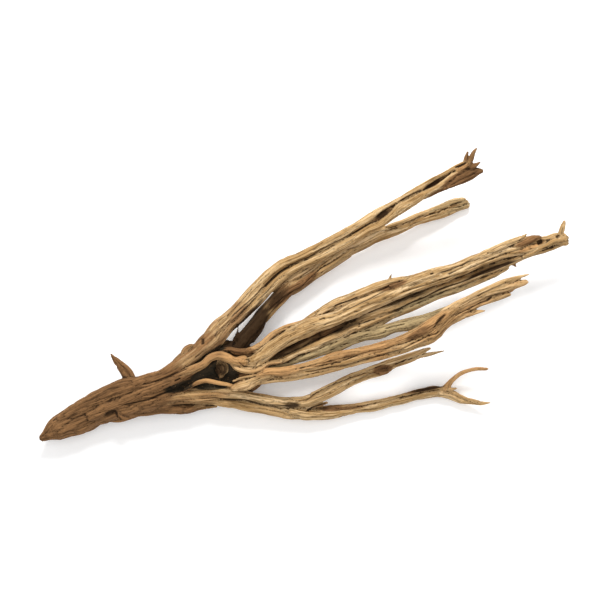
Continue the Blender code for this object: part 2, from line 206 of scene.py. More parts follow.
    "greyEdge": ((0, 0.5, 0.4), 1, [(92, -11, 52, 1.9), (105, -13, 56, 2.2), (120, -14, 62, 2.2),
        (135, -16, 68, 2.5), (157, -19, 76, 2.5), (178, -19, 82, 2.5)]),
    "hookRoot": ((0.35, 0, 0), 1, [(-104, -17, 46, 4.4), (-96, -18, 48, 6.2), (-87, -19, 50, 7.5),
        (-76, -18, 52, 6.9), (-66, -18, 53, 5.6), (-52, -18, 54, 5)]),
    "hookBed": ((0.4, 0, 0.4), 1, [(-87, -17, 44, 5), (-66, -20, 46, 5.6), (-44, -25, 48, 5.6),
        (-19, -30, 50, 5.6), (6, -33, 52, 5.6), (32, -36, 56, 5)]),
    "hookTop": ((0.65, 0, 0), 1, [(-69, -14, 56, 3.7), (-56, -14, 56, 5), (-42, -19, 56, 5.6),
        (-17, -24, 57, 5.9), (9, -26, 60, 6.2), (35, -27, 64, 6.2), (60, -31, 68, 5.9), (85, -34, 73, 5.9),
        (107, -35, 78, 5.6), (129, -35, 83, 6.8), (152, -32, 87, 8), (169, -28, 89, 7.4),
        (184, -24, 90, 5.5), (198, -22, 89, 4.3)]),
    "hookMid": ((0.4, 0, 0), 1, [(-39, -25, 54, 3.7), (-19, -29, 55, 4.4), (7, -32, 59, 4.4),
        (25, -35, 62, 4.3), (45, -37, 65, 4.7), (70, -39, 69, 5), (95, -42, 74, 5), (121, -44, 79, 5.6),
        (141, -43, 83, 5.6), (157, -39, 85, 4.9), (169, -31, 87, 4.3), (182, -25, 89, 4.3),
        (199, -22, 90, 4.6), (217, -20, 90, 4.6), (236, -19, 89, 4.9), (254, -21, 88, 5.2),
        (268, -22, 87, 5.2), (281, -24, 86, 3.7)]),
    "hookSole": ((0.4, 0.2, 0.1), 1, [(-72, -22, 49, 3.1), (-57, -25, 49, 3.7), (-39, -30, 50, 3.7),
        (-21, -34, 52, 3.7), (4, -38, 55, 3.7), (30, -41, 59, 3.7), (55, -43, 63, 3.7), (81, -47, 68, 3.7),
        (106, -49, 73, 4), (130, -49, 77, 4.3), (147, -49, 80, 4.3), (160, -46, 82, 3.7)]),
    "hookBody": ((0.6, 0, 0.2), 1, [(7, -30, 54, 8.7), (33, -33, 58, 9.3), (58, -36, 62, 8.7),
        (83, -40, 67, 8.7), (109, -42, 72, 8.7), (133, -41, 76, 9.3), (151, -40, 79, 11.1),
        (166, -34, 82, 10.5), (185, -28, 83, 9.3), (207, -26, 83, 7.4), (229, -24, 81, 7.4),
        (248, -24, 81, 7.4), (260, -24, 81, 5.6)]),
    "hookCrest": ((0.25, 0.1, 0), 1, [(155, -32, 85, 3.7), (172, -23, 89, 4.3), (188, -20, 91, 4.9),
        (205, -18, 92, 4.9), (225, -16, 92, 4.6), (244, -15, 91, 4.3), (260, -15, 90, 4),
        (274, -15, 89, 3.1), (288, -16, 88, 1.2)]),
    "hookTip": ((0.4, 0, 0.1), 1, [(206, -29, 84, 4.3), (222, -28, 84, 4.3), (238, -29, 84, 4),
        (248, -30, 84, 3.4), (257, -31, 84, 2.5)]),
    "hookTipLow": ((0.4, 0, 0.2), 1, [(248, -23, 83, 3.1), (259, -23, 83, 2.5)]),
    "hookSpur": ((0.3, 0, 0.1), 1, [(177, -36, 80, 4.9), (189, -35, 82, 4.9), (203, -36, 83, 3.4),
        (214, -37, 83, 2.5), (222, -39, 83, 1.2)]),
    "legUpper": ((0.1, 0, 0.05), 1, [(-249, 5, 38, 3.8), (-242, 5, 38, 6.3), (-232, 5, 39, 6.9),
        (-217, 5, 40, 6.9), (-197, 2, 40, 6.9), (-180, -1, 38, 6.9), (-163, -5, 36, 7.5),
        (-146, -10, 35, 8.1), (-129, -15, 33, 8.1), (-113, -22, 31, 7.5), (-97, -30, 30, 6.9),
        (-83, -39, 28, 6.6), (-67, -49, 26, 6.9), (-50, -58, 25, 6.9), (-33, -65, 25, 6.9)]),
    "legLip": ((0.5, 0, 0.3), 1, [(-249, 8, 40, 1.6), (-249, 4, 41, 1.9), (-249, 0, 41, 2),
        (-246, -3, 40, 1.9), (-241, -6, 36, 1.6)]),
    "legLower": ((0.25, 0.1, 0), 1, [(-196, -1, 33, 5), (-177, -7, 31, 5), (-158, -13, 30, 5),
        (-141, -19, 28, 5.6), (-126, -28, 27, 6.3), (-109, -37, 25, 6.9), (-93, -47, 23, 6.9),
        (-80, -55, 21, 6.6), (-69, -62, 20, 6.6), (-55, -71, 18, 6.9), (-38, -78, 17, 7.5)]),
    "legBelly": ((0, 0.2, 0.3), 1, [(-153, -15, 22, 7.5), (-130, -21, 20, 8.8), (-108, -33, 18, 8.8),
        (-86, -46, 16, 8.8), (-65, -60, 15, 8.8), (-42, -72, 15, 8.8)]),
    "forkUpper": ((0, 0.1, 0), 1, [(-42, -61, 24, 6.9), (-29, -65, 26, 7.5), (-16, -66, 28, 7.5),
        (-2, -66, 30, 8.1), (15, -64, 32, 8.1), (36, -61, 35, 7.8), (56, -61, 38, 7.8), (76, -62, 40, 7.8),
        (90, -62, 42, 5.6), (102, -63, 43, 3.7), (115, -64, 43, 3.4), (128, -64, 44, 3.1),
        (142, -66, 44, 2.7), (156, -68, 44, 1.6)]),
    "forkRidge": ((0, 0.1, 0), 1, [(-15, -60, 33, 2.5), (2, -59, 36, 2.8), (21, -57, 38, 2.8),
        (40, -56, 41, 2.8), (59, -56, 43, 2.8), (78, -56, 45, 3.1), (93, -57, 45, 4.4), (109, -58, 46, 4.1),
        (125, -59, 47, 3.4), (135, -59, 47, 2.9), (143, -59, 48, 1.7)]),
    "forkSplinter": ((0, 0, 1), 0.9, [(68, -61, 42, 3.7), (78, -64, 43, 5.6), (88, -65, 43, 3.1)]),
    "forkWeb": ((0.1, 0, 0.5), 1, [(-40, -69, 19, 5.7), (-25, -73, 21, 4.7), (-13, -76, 24, 3.5),
        (-2, -77, 26, 1.9)]),
    "foot": ((0.1, 0.15, 0), 1, [(-46, -71, 18, 8.8), (-33, -79, 17, 9.4), (-19, -85, 15, 8.8),
        (-2, -90, 13, 8.5), (17, -95, 11, 7.2), (33, -98, 10, 6.6), (48, -102, 10, 6.6), (73, -105, 9, 6.3),
        (93, -108, 9, 6.6), (112, -110, 8, 6.9), (130, -113, 8, 7.2), (141, -118, 8, 6.6)]),
    "footRidge": ((0.1, 0, 0.3), 1, [(-9, -81, 18, 2.5), (8, -86, 17, 2.8), (27, -92, 15, 2.5),
        (50, -97, 14, 2.5), (72, -101, 13, 2.5), (93, -103, 13, 2.5), (114, -105, 13, 2.5),
        (134, -110, 13, 2.5), (146, -113, 13, 1.9)]),
    "footTail": ((0.15, 0.1, 0), 1, [(137, -116, 9, 6.9), (149, -125, 9, 6), (159, -135, 10, 5.4),
        (170, -142, 12, 4.4), (180, -148, 14, 3.1), (190, -151, 16, 1.3)]),
    "footTailTop": ((0.3, 0, 0), 1, [(146, -118, 13, 2.5), (158, -129, 14, 2.2), (170, -140, 15, 1.9),
        (180, -146, 16, 1.3)]),
    "twig": ((0.7, 0, 0), 1, [(144, -115, 11, 5.4), (151, -110, 14, 4.1), (159, -106, 18, 3.5),
        (169, -103, 23, 3), (180, -103, 27, 2.6), (191, -105, 30, 2.4), (201, -109, 32, 1.8)]),
    "twigSpur": ((0.2, 0, 0.5), 1, [(145, -115, 13, 2.8), (152, -118, 15, 2), (158, -119, 16, 1)]),
    "throatBed": ((0, 0.1, 0.8), 1, [(-80, 8, 30, 5), (-58, 2, 29, 6.3), (-30, -3, 29, 6.3),
        (5, -1, 30, 6.3), (44, 3, 31, 6.3), (69, 5, 36, 5)]),
    "rootBed": ((0, 0.1, 0.8), 1, [(-90, 27, 27, 5), (-80, 18, 29, 5.6), (-68, 11, 30, 5.6),
        (-54, 12, 31, 5.6)]),
    "lipBowl": ((0.3, 0, 0), 1, [(-93, 15, 56, 3.1), (-85, 6, 55, 4.7), (-75, -1, 55, 5), (-63, -2, 55, 5),
        (-53, 1, 55, 4.4)]),
}

# Cracks and grooves in the upper surface, cut in and darkened with painted shade: width, depth, the height
# it lies at, and its line.
surfaceCracks = {
    "trunkLong": (0.9, 3.5, 45, [(-245, 13), (-231, 10), (-216, 8), (-206, 7), (-192, 7), (-179, 8),
        (-163, 6)]),
    "trunkUpper": (0.7, 1.6, 42, [(-306, 24), (-278, 29), (-251, 28), (-228, 26)]),
    "trunkMid": (0.7, 1.6, 40, [(-323, 16), (-300, 14), (-276, 14), (-255, 12)]),
    "trunkFork": (0.8, 2.2, 50, [(-211, 27), (-192, 25), (-172, 25), (-152, 27), (-143, 27)]),
    "trunkNotch": (1.3, 3.0, 32, [(-267, 8), (-261, 9), (-255, 9), (-252, 8), (-252, 4), (-252, 0),
        (-248, -5)]),
    "trunkSlot": (0.8, 4, 54, [(-169, 17), (-164, 17), (-160, 18)]),
    "footGroove": (0.9, 2.6, 32, [(-160, -11), (-130, -21), (-113, -30), (-96, -37), (-85, -45), (-75, -52),
        (-52, -62), (-34, -69)]),
    "forkCrease": (0.7, 2.0, 38, [(-25, -65), (-16, -62), (-4, -60), (17, -58), (26, -58), (44, -58),
        (57, -59), (67, -60)]),
    "forkCreaseB": (0.6, 1.5, 44, [(88, -63), (102, -62), (116, -61), (129, -62)]),
    "highLong": (0.8, 2.4, 48, [(-91, 62), (-76, 66), (-61, 71), (-45, 77), (-30, 83), (-13, 91), (3, 98),
        (17, 100), (31, 101), (44, 101), (59, 104), (73, 106), (87, 107), (101, 109), (115, 111),
        (129, 113), (140, 115)]),
    "highInnerA": (0.6, 1.4, 48, [(-112, 49), (-100, 53), (-84, 59), (-72, 63)]),
    "highInnerB": (0.6, 1.6, 44, [(-40, 72), (-24, 79), (-6, 88), (12, 92)]),
    "highOuterA": (0.5, 1.2, 46, [(-77, 70), (-58, 79), (-38, 90), (-15, 100)]),
    "highPit": (1.7, 4.0, 48, [(-117, 55), (-118, 51), (-120, 47)]),
    "lowLong": (0.7, 2.2, 30, [(-39, 51), (-18, 61), (5, 68), (19, 69), (35, 76), (51, 83), (65, 85),
        (80, 88), (94, 91)]),
    "lowEnd": (0.8, 2.4, 18, [(191, 98), (204, 97), (214, 96), (222, 97), (231, 96), (241, 93), (250, 91)]),
    "lowLens": (1.0, 1.8, 15, [(232, 98), (240, 98), (247, 98)]),
    "coreSeam": (0.7, 2.0, 56, [(-86, 13), (-84, 8), (-81, 3), (-74, 0), (-68, -2), (-63, 2)]),
    "coreSeamB": (0.6, 1.5, 60, [(-75, -1), (-65, -4), (-54, -2), (-45, -1)]),
    "coreBackA": (0.9, 3.0, 54, [(47, 32), (58, 33), (71, 32), (85, 33)]),
    "coreBackB": (0.9, 3.2, 58, [(26, 24), (35, 24)]),
    "coreBackC": (0.8, 2.6, 62, [(55, 24), (68, 24), (82, 25), (96, 26), (109, 28), (120, 28)]),
    "coreLens": (2.4, 1.9, 64, [(105, 30), (118, 29), (129, 30), (141, 31)]),
    "coreTopA": (0.6, 1.4, 66, [(-1, 17), (23, 17), (48, 14), (65, 16), (86, 17), (97, 17), (118, 16)]),
    "coreTopB": (0.7, 1.8, 68, [(126, 19), (148, 18), (171, 16), (200, 16)]),
    "coreTopC": (0.8, 2.2, 66, [(184, 25), (201, 23), (222, 24), (238, 24)]),
    "coreTopD": (0.7, 2.0, 64, [(244, 18), (262, 17), (281, 17), (299, 15)]),
    "coreTopE": (0.6, 1.2, 64, [(269, 28), (285, 27), (298, 27)]),
    "corePit": (1.1, 3.5, 66, [(176, 27), (180, 27)]),
    "coreLowSeam": (1.1, 3.0, 58, [(99, 0), (126, 0), (140, 2), (153, 2), (167, 3), (180, 5), (194, 5),
        (207, 4), (220, 4), (234, 5), (248, 6), (261, 5), (275, 4)]),
    "coreLowSeamB": (0.6, 1.6, 56, [(66, 1), (80, 0), (96, 0)]),
    "highSlitA": (0.7, 2.2, 60, [(171, 125), (182, 127), (194, 128), (205, 128)]),
    "highSlitB": (1.0, 3.0, 88, [(249, 139), (257, 139), (266, 140)]),
    "legTear": (1.0, 3.0, 20, [(-30, -78), (-19, -76), (-10, -76), (-1, -77)]),
    "coreEndGap": (1.2, 3.0, 50, [(316, 5), (324, 5), (333, 5)]),
    "coreBlack": (1.4, 3.0, 50, [(61, 8), (65, 8), (70, 8)]),
    "hookFold": (0.8, 2.2, 82, [(123, -46), (134, -44), (145, -43), (156, -44), (164, -42)]),
    "hookFoldPit": (1.3, 1.9, 80, [(142, -47), (150, -48)]),
    "tornA": (0.8, 1.8, 84, [(235, 120), (248, 122), (262, 123), (274, 124)]),
    "tornB": (0.7, 1.6, 84, [(245, 116), (257, 119), (269, 120)]),
    "hookC": (0.6, 1.5, 66, [(-29, -21), (-4, -26), (21, -29), (46, -32), (75, -35)]),
    "hookD": (0.6, 1.3, 66, [(8, -20), (26, -23), (44, -24)]),
    "archA": (0.6, 1.2, 58, [(-140, 19), (-129, 21), (-118, 24), (-109, 25), (-100, 19)]),
    "archB": (0.6, 1.2, 58, [(-96, 20), (-91, 13), (-85, 8)]),
    "stubCrack": (0.6, 1.4, 46, [(-113, 14), (-111, 10), (-112, 4)]),
    "flapCrease": (0.7, 1.8, 20, [(-184, -11), (-170, -15), (-155, -19), (-141, -24), (-127, -30)]),
    "corePitB": (1.0, 2.6, 55, [(69, -2), (72, -2)]),
    "coreHookPit": (2.3, 4.5, 56, [(314, 16), (322, 16)]),
    "coreHookPitB": (1.6, 3, 58, [(338, 14), (344, 15)]),
    "hookA": (0.8, 2.4, 74, [(-67, -22), (-54, -22), (-44, -25), (-19, -30), (-1, -34), (18, -36),
        (36, -41), (56, -42), (75, -44), (107, -47), (127, -45), (141, -44), (150, -45)]),
    "hookB": (0.6, 1.8, 72, [(-17, -23), (7, -30), (32, -34), (52, -34), (72, -35), (90, -39), (107, -39)]),
    "hookSlot": (1.1, 2.3, 90, [(153, -38), (161, -32), (170, -27), (177, -25)]),
    "hookMain": (0.7, 1.8, 92, [(190, -22), (206, -20), (223, -18), (239, -17), (255, -16), (271, -17)]),
    "hookLow": (0.7, 2.0, 88, [(181, -32), (200, -30), (220, -28), (238, -28)]),
    "greyA": (0.6, 1.5, 54, [(56, -16), (73, -17), (86, -20), (102, -20)]),
    "greyB": (0.8, 2.2, 62, [(98, -16), (111, -17), (126, -19)]),
    "footA": (0.6, 1.4, 15, [(5, -90), (23, -95), (44, -98), (67, -101)]),
    "footB": (0.7, 1.8, 14, [(79, -103), (97, -106), (118, -109), (138, -113)]),
}

# Patches of another colour, the umber and dark ones mostly painted shade: kind, centre x, y, z, half
# length, half width, turn, strength.
woodPatches = {
    "thornShade": ("bark", -227, 57, 44, 20, 9, -86, 0.6),
    "footBark": ("bark", 119, -105, 14, 28, 3, -10, 0.8),
    "forkLens": ("bark", 79, -63, 40, 12, 6, -9, 1),
    "highBase": ("bark", -116, 49, 50, 9, 6, 24, 0.5),
    "lowShade": ("umberShadeAndStain", -63, 43, 39, 40, 18, 31, 1),
    "lowShadeB": ("bark", -5, 67, 28, 25, 6, 19, 0.8),
    "coreLensBark": ("bark", 129, 30, 62, 18, 4, -1, 0.9),
    "throatDark": ("umberShadeAndStain", -12, 4, 46, 45, 9, 4, 0.5),
    "throatDarkB": ("umberShadeAndStain", 61, 5, 51, 30, 6, 4, 0.6),
    "eyeDark": ("dark", -113, 6, 38, 21, 15, -11, 1),
    "eyeLeft": ("dark", -136, 8, 36, 19, 9, 4, 1),
    "eyeSlot": ("dark", -126, -7, 38, 20, 4, -16, 1),
    "eyeRight": ("dark", -104, -3, 42, 9, 12, 69, 0.9),
    "forkDark": ("dark", -142, 27, 42, 14, 6, 7, 1),
    "forkDarkB": ("dark", -113, 33, 44, 18, 4, 12, 0.9),
    "forkDarkC": ("dark", -95, 29, 40, 10, 4, -36, 0.6),
    "hollowShadeAndStain": ("dark", -162, 8, 46, 22, 6, -3, 0.9),
    "hookPatch": ("bark", 134, -36, 86, 19, 6, 9, 0.75),
    "hookKnot": ("bark", 46, -29, 74, 11, 5, -11, 0.5),
    "hookTopRed": ("orange", 23, -24, 70, 32, 6, -3, 0.35),
    "coreEndBark": ("orange", 306, 14, 56, 20, 3, 1, 0.7),
    "coreEndBarkB": ("bark", 310, 24, 62, 11, 5, -1, 0.9),
    "footDark": ("bark", 1, -86, 16, 16, 4, -18, 0.9),
    "legDark": ("umberShadeAndStain", -43, -64, 34, 11, 4, -21, 0.6),
    "stubDark": ("umberShadeAndStain", -109, 10, 56, 8, 9, 69, 0.72),
    "footUmber": ("umberShadeAndStain", -10, -82, 20, 11, 3, -18, 0.5),
    "footLine": ("umberShadeAndStain", 124, -107, 16, 20, 2, -11, 0.75),
    "lensUmber": ("umberShadeAndStain", 80, -63, 48, 7, 3, -9, 0.35),
    "lowMidBark": ("bark", 28, 75, 24, 22, 6, 15, 0.75),
    "tornUmber": ("umberShadeAndStain", 266, 129, 97, 18, 8, 7, 0.25),
    "trunkCleft": ("umberShadeAndStain", -260, 8, 40, 8, 3, -1, 0.55),
    "hookUmber": ("umberShadeAndStain", 166, -29, 92, 10, 3, 31, 0.5),
    "coreUnderShade": ("grey", 152, -1, 48, 50, 6, 1, 0.7),
    "gapBark": ("bark", 18, 5, 46, 10, 5, 9, 0.8),
    "highTornBark": ("bark", 256, 125, 80, 28, 8, 7, 1),
    "highLensA": ("umberShadeAndStain", 151, 119, 54, 14, 4, 7, 0.75),
    "highLensB": ("umberShadeAndStain", 220, 132, 81, 14, 4, 12, 0.75),
    "lowShadeC": ("umberShadeAndStain", -27, 63, 36, 30, 11, 25, 0.5),
    "coreUnderDark": ("umberShadeAndStain", 251, 6, 54, 32, 3, -1, 0.85),
    "coreSideDark": ("umberShadeAndStain", 140, 10, 58, 30, 4, 1, 0.55),
    "kneeOrange": ("orange", -72, 6, 50, 18, 6, -21, 0.3),
    "legOrange": ("orange", -147, -13, 30, 40, 9, -17, 0.6),
    "tornHollow": ("umberShadeAndStain", 275, 129, 93, 7, 3, -1, 0.9),
    "armBaseBark": ("bark", -130, 42, 36, 30, 14, 27, 0.5),
    "armStartBark": ("bark", -95, 58, 34, 60, 26, 28, 0.5),
    "footKnotBark": ("bark", 26, -94, 10, 19, 4, -15, 0.55),
    "lowEndGrey": ("grey", 229, 97, 8, 30, 11, -7, 0.6),
    "backBark": ("bark", -76, 22, 40, 18, 5, -26, 0.8),
    "trunkTan": ("bare", -164, -9, 38, 28, 9, -13, 0.35),
}

# how a strand is turned into a grooved, slightly swollen rod
rodShape = {
    "step": 1.6,              # along the rod
    "facetWidth": 0.9,        # round the rod
    "grooveSpacing": 5.0,
    "grooveDepth": (0.6, 2.0),
    "grooveWidth": (0.8, 1.9),
    "grooveReach": 60.0,      # how far a groove runs before it closes
    "grooveShare": 0.2,       # the deepest groove, as a share of the radius
    "wander": 0.22,           # how far a groove strays round the rod, in radians
    "twist": 0.004,
    "swelling": 0.06,
    "swellLength": 70.0,
    "lobeLength": 90.0,
    "tipLength": 0.7,         # a worn tip, against the radius
    "tipTurns": np.radians([80.0, 50.0, 22.0]),
    "raggedEnd": 0.7,
    "thinnest": 0.4,
}

# the surface that the rods grow into
skinShape = {
    "voxel": 1.0,
    "triangles": 194000,
    "ripple": 0.55,           # broad ripples along the grain
    "fibre": 0.6,             # narrow ridges along the grain
    "split": 1.1,             # open hairline splits
    "wornHeight": 0.8,        # below this height the wood is worn flatter
    "wornShare": 0.15,        # how much of its relief is left there
}


def smoothRoute(points, step):
    # a curve through all the points, read off at even steps
    points = np.array(points, float)
    span = np.linalg.norm(np.diff(points[:, :3], axis=0), axis=1)
    at = np.concatenate([[0.0], np.cumsum(span)])
    slope = np.gradient(points, at, axis=0)
    count = max(6, int(at[-1] / step))
    s = np.linspace(0.0, at[-1], count + 1)
    i = np.clip(np.searchsorted(at, s, side="right") - 1, 0, len(at) - 2)
    h = (at[i + 1] - at[i])[:, None]
    t = ((s - at[i])[:, None]) / h
    a, b, c, d = 2 * t**3 - 3 * t**2 + 1, t**3 - 2 * t**2 + t, -2 * t**3 + 3 * t**2, t**3 - t**2
    path = a * points[i] + b * h * slope[i] + c * points[i + 1] + d * h * slope[i + 1]
    path[:, 3] = np.maximum(path[:, 3], rodShape["thinnest"])
    return s, path


def roundedEnds(s, path):
    # three short rings close each end like a worn tip
    turns = rodShape["tipTurns"]

    def tip(end, inner):
        away = end[:3] - inner[:3]
        away /= np.linalg.norm(away)
        reach = end[3] * rodShape["tipLength"] * np.sin(turns)
        return reach, np.column_stack([end[:3] + reach[:, None] * away, end[3] * np.cos(turns)])

    headReach, head = tip(path[0], path[1])
    tailReach, tail = tip(path[-1], path[-2])
    at = np.concatenate([s[0] - headReach, s, s[-1] + tailReach[::-1]])
    return at, np.concatenate([head, path, tail[::-1]])


def wave(rng, s, length):
    # a slow random wave between -1 and 1
    total = np.zeros_like(s)
    for k, share in ((1.0, 0.6), (2.3, 0.4)):
        total += share * np.sin(2 * math.pi * s * k / length + rng.uniform(0, 6.283))
    return total


def rod(number, tone, flat, route):
    shape = rodShape
    rng = np.random.default_rng(100 + number)
    s, path = roundedEnds(*smoothRoute(route, shape["step"]))
    spot, radius = path[:, :3], path[:, 3]
    ahead = np.gradient(spot, axis=0)
    ahead /= np.linalg.norm(ahead, axis=1)[:, None]
    side = np.cross([0.0, 0.0, 1.0], ahead)
    side /= np.linalg.norm(side, axis=1)[:, None]
    up = np.cross(ahead, side)
    sides = max(12, int(2 * math.pi * radius.max() / shape["facetWidth"]))
    angle = np.linspace(0, 2 * math.pi, sides, endpoint=False)[None, :]
    swell = wave(rng, s, shape["swellLength"])[:, None]
    lobes = np.sin(2 * angle + 2 * wave(rng, s, shape["lobeLength"])[:, None])
    reach = radius[:, None] * (1 + shape["swelling"] * (swell + 0.6 * lobes))
    mark = np.zeros((len(s), sides))
    grooves = max(2, round(2 * math.pi * radius.mean() / shape["grooveSpacing"]))
    for j in range(grooves):
        centre = 2 * math.pi * (j + rng.uniform(-0.3, 0.3)) / grooves
        centre = centre + shape["twist"] * s + shape["wander"] * wave(rng, s, rng.uniform(60, 140))
        opening = np.clip(0.55 + wave(rng, s, rng.uniform(0.8, 1.6) * shape["grooveReach"]), 0, 1)
        depth = np.minimum(rng.uniform(*shape["grooveDepth"]), shape["grooveShare"] * radius) * opening
        off = np.abs((angle - centre[:, None] + math.pi) % (2 * math.pi) - math.pi) * radius[:, None]
        # a sharp valley between two rounded ridges
        reach = reach - depth[:, None] * np.exp(-off / rng.uniform(*shape["grooveWidth"]))
        # a mask along the groove's floor, where the material paints shade into the groove
        mark = np.maximum(mark, (depth[:, None] / 1.2) * np.exp(-(off / 0.9) ** 2))
    across, above = reach * np.cos(angle), reach * np.sin(angle)
    points = spot[:, None] + across[..., None] * side[:, None] + flat * above[..., None] * up[:, None]
    # the last few rings break off unevenly
    ragged = np.sin(3 * angle + number) + 0.7 * np.sin(7 * angle + 2 * number)
    ragged = shape["raggedEnd"] * radius.mean() * ragged
    nearEnd = np.exp(-((s[-1] - s) / (1.2 * radius.mean())) ** 2)[:, None]
    points += (ragged * 0.5 * nearEnd)[..., None] * ahead[:, None]
    grain = np.stack([np.broadcast_to(s[:, None] + 900 * number, across.shape), across, above], -1)
    rings = len(s)
    ring = np.arange(rings - 1)[:, None] * sides
    k = np.arange(sides)[None, :]
    nextK = (k + 1) % sides
    quads = np.stack([ring + k, ring + nextK, ring + sides + nextK, ring + sides + k], -1).reshape(-1, 4)
    caps = [np.arange(sides)[::-1], (rings - 1) * sides + np.arange(sides)]
    tones = np.broadcast_to(np.array(tone, float), (rings * sides, 3))
    marks = np.stack([mark, 0 * mark, 0 * mark], -1).reshape(-1, 3)
    return points.reshape(-1, 3), grain.reshape(-1, 3), tones, marks, quads, caps


def meshFrom(name, points, quads, caps):
    mesh = bpy.data.meshes.new(name)
    mesh.vertices.add(len(points))
    mesh.vertices.foreach_set("co", points.astype(np.float32).ravel())
    corners = np.concatenate([quads.ravel()] + caps)
    sizes = np.array([4] * len(quads) + [len(cap) for cap in caps])
    mesh.loops.add(len(corners))
    mesh.loops.foreach_set("vertex_index", corners.astype(np.int32))
    mesh.polygons.add(len(sizes))
    mesh.polygons.foreach_set("loop_start", (np.cumsum(sizes) - sizes).astype(np.int32))
    mesh.update(calc_edges=True)
    return mesh


def storeVectors(mesh, name, values):
    layer = mesh.attributes.get(name) or mesh.attributes.new(name, "FLOAT_VECTOR", "POINT")
    layer.data.foreach_set("vector", values.astype(np.float32).ravel())


def readVectors(mesh, name):
    values = np.zeros(len(mesh.vertices) * 3, np.float32)
    mesh.attributes[name].data.foreach_get("vector", values)
    return values.reshape(-1, 3).astype(float)


def allRods():
    built = [rod(number, *strand) for number, strand in enumerate(woodRoutes.values())]
    points, grains, tones, marks, quads, caps = zip(*built)
    firsts = np.cumsum([0] + [len(spots) for spots in points])
    quads = np.concatenate([faces + first for faces, first in zip(quads, firsts)])
    caps = [cap + first for ends, first in zip(caps, firsts) for cap in ends]
    mesh = meshFrom("rods", np.concatenate(points) * mm, quads, caps)
    for name, values in (("grain", grains), ("tone", tones), ("mark", marks)):
        storeVectors(mesh, name, np.concatenate(values))
    rods = bpy.data.objects.new("rods", mesh)
    bpy.context.collection.objects.link(rods)
    return rods


def onlySelect(thing):
    bpy.ops.object.select_all(action="DESELECT")
    thing.select_set(True)
    bpy.context.view_layer.objects.active = thing


def applyModifier(thing, kind, **settings):
    onlySelect(thing)
    bpy.ops.object.modifier_add(type=kind)
    modifier = thing.modifiers[-1]
    for name, value in settings.items():
        setattr(modifier, name, value)
    bpy.ops.object.modifier_apply(modifier=modifier.name)


class Nodes:
    # a short way to add nodes to a tree and wire them up
    def __init__(self, tree):
        self.tree = tree

    def add(self, kind, inputs=None, **settings):
        node = self.tree.nodes.new(kind)
        for name, value in settings.items():
            setattr(node, name, value)
        for socket, value in (inputs or {}).items():
            if isinstance(value, bpy.types.NodeSocket):
                self.tree.links.new(value, node.inputs[socket])
            else:
                node.inputs[socket].default_value = value
        return node

    def math(self, operation, a, b=0.0, c=0.0, clamp=False):
        kind = "ShaderNodeMath"
        return self.add(kind, {0: a, 1: b, 2: c}, operation=operation, use_clamp=clamp).outputs[0]

    def scaled(self, vector, factors):
        return self.add("ShaderNodeVectorMath", {0: vector, 1: factors}, operation="MULTIPLY").outputs[0]

    def noise(self, vector, scale=1.0, detail=2.0, roughness=0.5, distortion=0.0):
        values = {"Vector": vector, "Scale": scale, "Detail": detail, "Roughness": roughness}
        node = self.add("ShaderNodeTexNoise", values)
        node.inputs["Distortion"].default_value = distortion
        return node.outputs[0]

    def remap(self, value, low, high, toLow=0.0, toHigh=1.0, smooth=True):
        kind = "SMOOTHSTEP" if smooth else "LINEAR"
        node = self.add("ShaderNodeMapRange", {0: value, 1: low, 2: high, 3: toLow, 4: toHigh},
                        interpolation_type=kind)
        return node.outputs[0]

    def splits(self, grain, sharp=1.0):
        # long closed lines that follow the grain: 1 in a split, 0 beside it
        broad = self.noise(self.scaled(grain, (0.008, 0.15, 0.15)), detail=1.0)
        fine = self.noise(self.scaled(grain, (0.012, 0.33, 0.33)), detail=1.0)
        broad = self.math("ABSOLUTE", self.math("SUBTRACT", broad, 0.5))
        fine = self.math("ABSOLUTE", self.math("SUBTRACT", fine, 0.55))
        broad = self.remap(broad, 0.0, 0.022 / sharp, 1.0, 0.0)
        fine = self.remap(fine, 0.0, 0.022 / sharp, 0.7, 0.0)
        return self.math("MAXIMUM", broad, fine)


def geometryTree(name):
    tree = bpy.data.node_groups.new(name, "GeometryNodeTree")
    tree.interface.new_socket("Geometry", in_out="INPUT", socket_type="NodeSocketGeometry")
    tree.interface.new_socket("Geometry", in_out="OUTPUT", socket_type="NodeSocketGeometry")
    nodes = Nodes(tree)
    return tree, nodes, nodes.add("NodeGroupInput").outputs[0]


def carryGrain(wood, rods):
    # the skin takes each point's grain direction and tone from the nearest rod
    tree, nodes, geometry = geometryTree("carryGrain")
    source = nodes.add("GeometryNodeObjectInfo", {"Object": rods}).outputs["Geometry"]
    for name in ("grain", "tone", "mark"):
        value = nodes.add("GeometryNodeInputNamedAttribute", {"Name": name}, data_type="FLOAT_VECTOR")
        sample = nodes.add("GeometryNodeSampleNearestSurface", {"Mesh": source}, data_type="FLOAT_VECTOR")
        tree.links.new(value.outputs[0], sample.inputs["Value"])
        geometry = nodes.add("GeometryNodeStoreNamedAttribute", {
            "Geometry": geometry, "Name": name, "Value": sample.outputs[0]}, data_type="FLOAT_VECTOR",
            domain="POINT").outputs[0]
    nodes.add("NodeGroupOutput", {0: geometry})
    applyModifier(wood, "NODES", node_group=tree)


